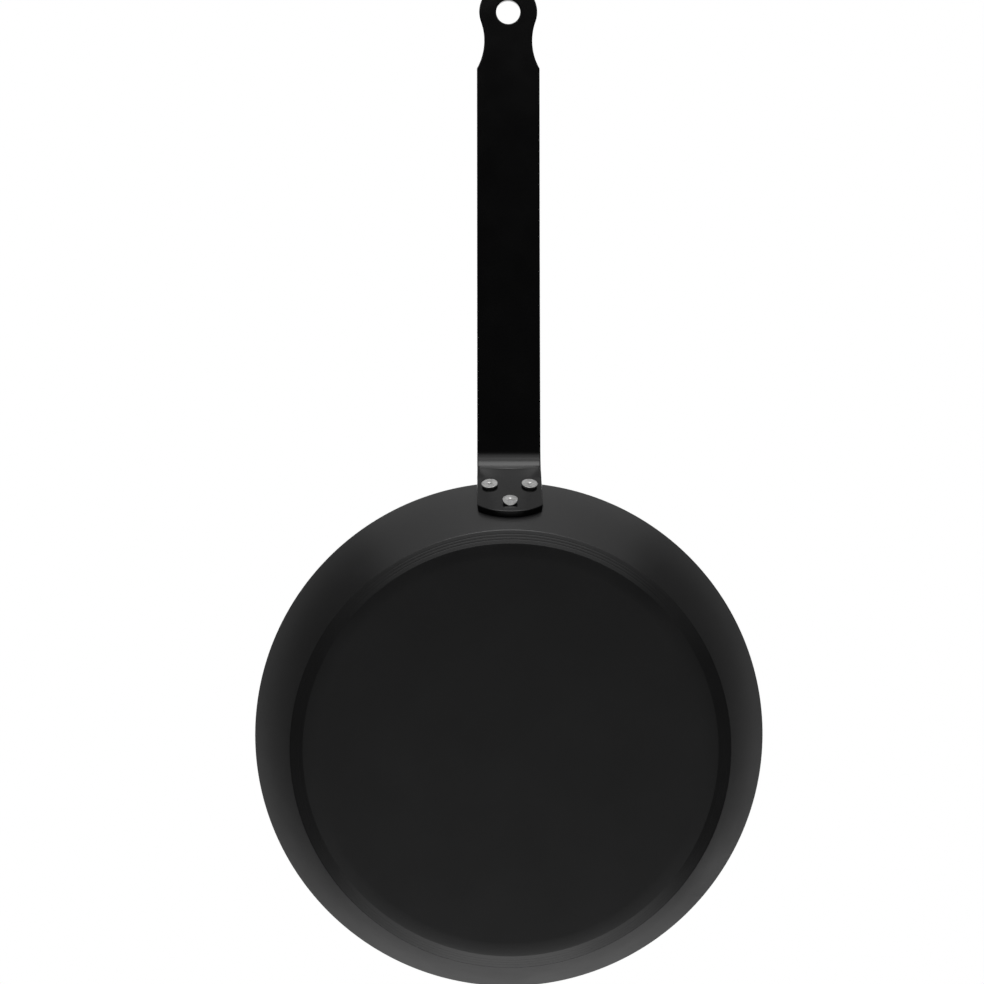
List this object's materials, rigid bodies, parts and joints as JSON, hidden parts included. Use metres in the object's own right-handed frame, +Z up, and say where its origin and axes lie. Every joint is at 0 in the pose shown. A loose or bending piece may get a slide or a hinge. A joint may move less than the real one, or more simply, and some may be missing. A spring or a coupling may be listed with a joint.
{
  "type": "crepe pan",
  "caption": "Round flat-based pan with a low flared wall and a long, nearly level flat-bar handle, riveted on and ending in a hanging eye.",
  "frame": {"origin": "middle of the underside of the base, which is the pan's axis", "axes": "+Z up out of the pan's mouth, +Y along the handle towards its eye, +X to the left of a cook who holds the handle"},
  "size_m": [0.2392, 0.4771, 0.0703],
  "materials": {
    "pan_coating": "matt black baked coating over pressed sheet",
    "handle_coating": "satin black baked coating over steel bar",
    "rivet_metal": "bare satin metal"
  },
  "bodies": {
    "root": {"pan_body": "pan_coating", "handle": "handle_coating", "rivet_left": "rivet_metal", "rivet_right": "rivet_metal", "rivet_lower": "rivet_metal"}
  },
  "joints": []
}
